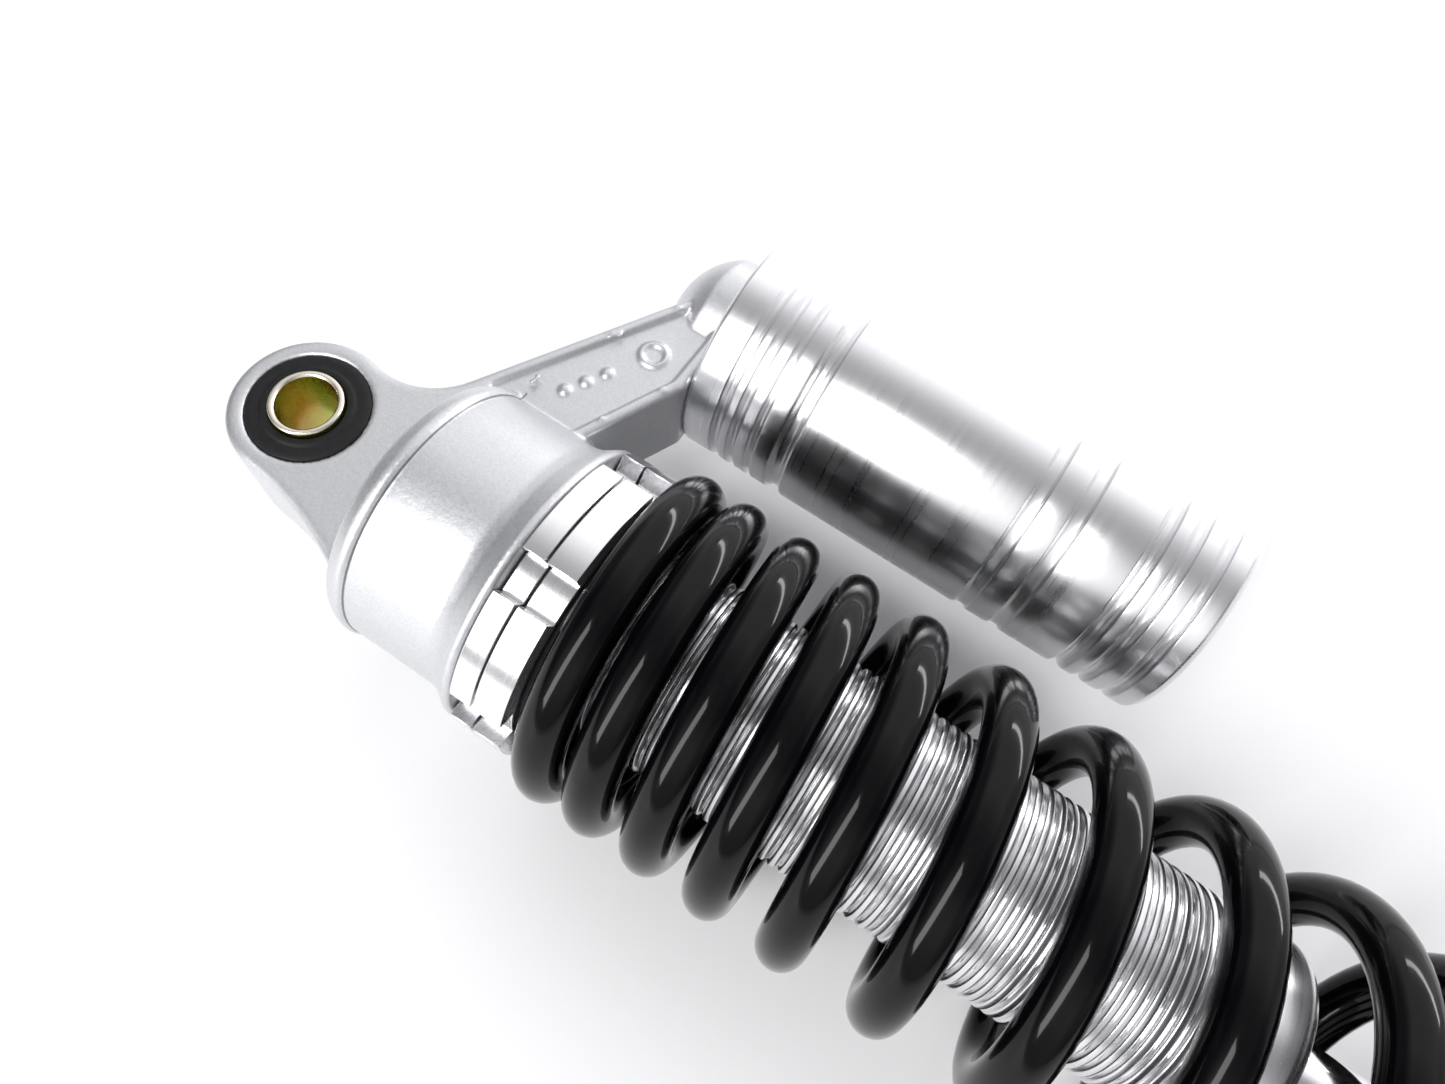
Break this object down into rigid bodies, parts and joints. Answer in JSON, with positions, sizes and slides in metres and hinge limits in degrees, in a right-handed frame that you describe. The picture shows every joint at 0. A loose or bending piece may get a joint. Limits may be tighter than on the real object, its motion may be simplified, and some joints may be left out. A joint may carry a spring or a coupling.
{
  "type": "rear shock absorber",
  "caption": "Coil-over rear shock absorber with a side gas reservoir, rubber-bushed mounting eyes, spanner rings for preload and a progressive spring.",
  "frame": {"origin": "centre of the upper mounting eye's sleeve bore", "axes": "+X along the damper from the upper eye to the lower eye, +Y from the damper to the reservoir, +Z along the mounting eyes' axis"},
  "size_m": [0.3468, 0.1137, 0.062],
  "materials": {
    "cast_aluminium": "satin light-silver paint over cast aluminium",
    "polished_aluminium": "turned and polished aluminium",
    "ring_aluminium": "satin turned aluminium",
    "thread_steel": "bright zinc-plated steel with a rolled thread",
    "spring_black": "gloss black powder coat",
    "bush_rubber": "matt moulded black rubber",
    "yellow_zinc": "yellow-passivated zinc plate",
    "chrome_rod": "hard chrome, ground",
    "seal_rubber": "moulded nitrile rubber",
    "spring_steel": "dark oiled steel",
    "band_plastic": "bronze-filled slide plastic",
    "black_plastic": "moulded nylon",
    "bump_foam": "closed-cell polyurethane foam",
    "valve_brass": "turned brass"
  },
  "bodies": {
    "shock_body": {"head_casting": "cast_aluminium", "upper_bush": "bush_rubber", "damper_tube": "thread_steel", "tube_o_ring": "seal_rubber", "rod_guide": "ring_aluminium", "guide_bushing": "band_plastic", "rod_seal": "seal_rubber", "seal_backup_ring": "spring_steel", "guide_o_ring": "seal_rubber", "guide_circlip": "spring_steel", "dust_wiper": "seal_rubber", "coil_spring": "spring_black", "reservoir_body": "polished_aluminium", "neck_o_ring": "seal_rubber", "reservoir_cap": "ring_aluminium", "cap_o_ring": "seal_rubber", "cap_circlip": "spring_steel", "valve_body": "valve_brass"},
    "perch": {"spring_guide": "black_plastic"},
    "lock": {"lock_ring": "ring_aluminium"},
    "adjuster": {"adjuster_ring": "ring_aluminium"},
    "rod": {"piston_rod": "chrome_rod", "piston": "ring_aluminium", "piston_band": "band_plastic", "compression_shims": "spring_steel", "rebound_shims": "spring_steel", "piston_nut": "spring_steel", "top_out_bumper": "seal_rubber", "bump_stop": "bump_foam", "bump_washer": "thread_steel", "spring_seat": "ring_aluminium", "lower_mount": "cast_aluminium", "lower_bush": "bush_rubber"},
    "upper_pivot": {"upper_sleeve": "yellow_zinc"},
    "lower_pivot": {"lower_sleeve": "yellow_zinc"},
    "separator": {"floating_piston": "ring_aluminium", "floating_band": "band_plastic", "floating_o_ring": "seal_rubber"},
    "cap": {"valve_cap": "black_plastic"},
    "pin": {"valve_pin": "valve_brass"}
  },
  "joints": [
    {"name": "damper_slide", "type": "slide", "parent": "shock_body", "child": "rod", "axis": [1, 0, 0], "range_m": [-0.056, 0], "stiffness_N_per_m": 28000, "springref_m": 0.004, "deforming": ["coil_spring"]},
    {"name": "floating_slide", "type": "slide", "parent": "shock_body", "child": "separator", "axis": [1, 0, 0], "range_m": [0, 0.0064]},
    {"name": "preload_travel", "type": "slide", "parent": "shock_body", "child": "perch", "axis": [1, 0, 0], "range_m": [0, 0.0066]},
    {"name": "adjuster_turn", "type": "hinge", "parent": "perch", "child": "adjuster", "pos_m": [0.0563, 0, 0], "axis": [1, 0, 0], "range_deg": [0, 1170]},
    {"name": "lock_turn", "type": "hinge", "parent": "perch", "child": "lock", "pos_m": [0.05135, 0, 0], "axis": [1, 0, 0], "range_deg": [0, 1171]},
    {"name": "upper_eye_twist", "type": "hinge", "parent": "shock_body", "child": "upper_pivot", "pos_m": [0, 0, 0], "axis": [0, 0, 1], "range_deg": [-12, 12], "stiffness_Nm_per_rad": 0.05},
    {"name": "lower_eye_twist", "type": "hinge", "parent": "rod", "child": "lower_pivot", "pos_m": [0.32, 0, 0], "axis": [0, 0, 1], "range_deg": [-12, 12], "stiffness_Nm_per_rad": 0.05},
    {"name": "valve_cap_off", "type": "slide", "parent": "shock_body", "child": "cap", "axis": [1, 0, 0], "range_m": [0, 0.014]},
    {"name": "valve_pin_press", "type": "slide", "parent": "shock_body", "child": "pin", "axis": [1, 0, 0], "range_m": [-0.001, 0], "stiffness_N_per_m": 200}
  ],
  "couplings": [
    {"joint": "floating_slide", "follows": "damper_slide", "ratio": -0.11111},
    {"joint": "preload_travel", "follows": "adjuster_turn", "m_per_rad": 0.00031831},
    {"joint": "lock_turn", "follows": "adjuster_turn", "ratio": 1}
  ]
}
